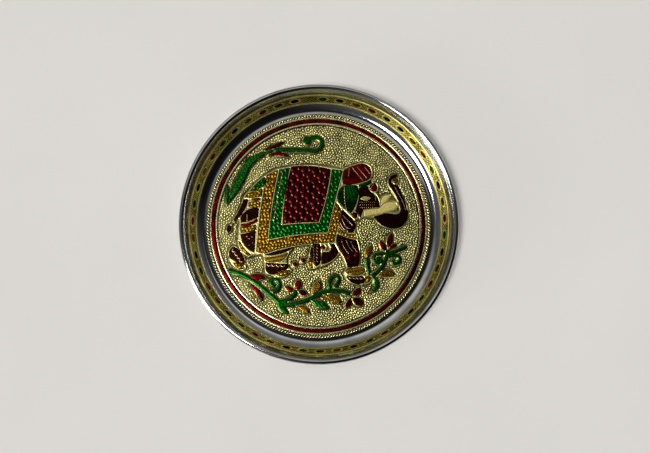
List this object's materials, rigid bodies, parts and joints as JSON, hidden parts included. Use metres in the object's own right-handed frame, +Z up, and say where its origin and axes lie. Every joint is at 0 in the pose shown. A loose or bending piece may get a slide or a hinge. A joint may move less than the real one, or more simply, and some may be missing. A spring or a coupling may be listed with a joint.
{
  "type": "puja thali",
  "caption": "Round shallow steel plate for offerings, with a gilt embossed elephant medallion on its floor and an enamelled gilt band around its wall.",
  "frame": {"origin": "centre of the plate's underside", "axes": "+Z up out of the dish, +Y towards the top of the picture on the medallion, +X towards the elephant's trunk"},
  "size_m": [0.2198, 0.2198, 0.0164],
  "materials": {
    "steel": "polished, spun",
    "gilt": "embossed foil, champagne gold lacquer",
    "band_gilt": "embossed foil, yellow gold lacquer",
    "ruby": "translucent lacquer",
    "maroon": "translucent lacquer",
    "emerald": "translucent lacquer",
    "amber": "translucent lacquer",
    "sapphire": "translucent lacquer",
    "aubergine": "opaque lacquer",
    "ivory": "opaque lacquer"
  },
  "bodies": {
    "root": {"steel_plate": "steel", "medallion_sheet": "gilt", "eye_boss": "gilt", "rim_band": "band_gilt", "border_ring_enamel": "ruby", "band_red_enamel": "ruby", "rump_stripe_enamel": "ruby", "head_cap_enamel": "ruby", "brow_enamel": "ruby", "drop_enamel": "ruby", "knee_flower_enamel": "ruby", "vine_red_enamel": "ruby", "saddle_quilt_enamel": "maroon", "band_green_enamel": "emerald", "saddle_border_enamel": "emerald", "rump_scallop_enamel": "emerald", "head_strap_enamel": "emerald", "ear_enamel": "emerald", "vine_stem_enamel": "emerald", "vine_leaf_enamel": "emerald", "band_amber_enamel": "amber", "saddle_fringe_enamel": "amber", "rump_band_enamel": "amber", "anklet_enamel": "amber", "toe_enamel": "amber", "trunk_tip_enamel": "amber", "necklace_enamel": "amber", "vine_amber_enamel": "amber", "band_blue_enamel": "sapphire", "haunch_enamel": "aubergine", "tail_enamel": "aubergine", "foot_enamel": "aubergine", "face_enamel": "aubergine", "trunk_enamel": "aubergine", "chest_enamel": "aubergine", "foreleg_enamel": "aubergine", "tusk_enamel": "ivory"}
  },
  "joints": []
}
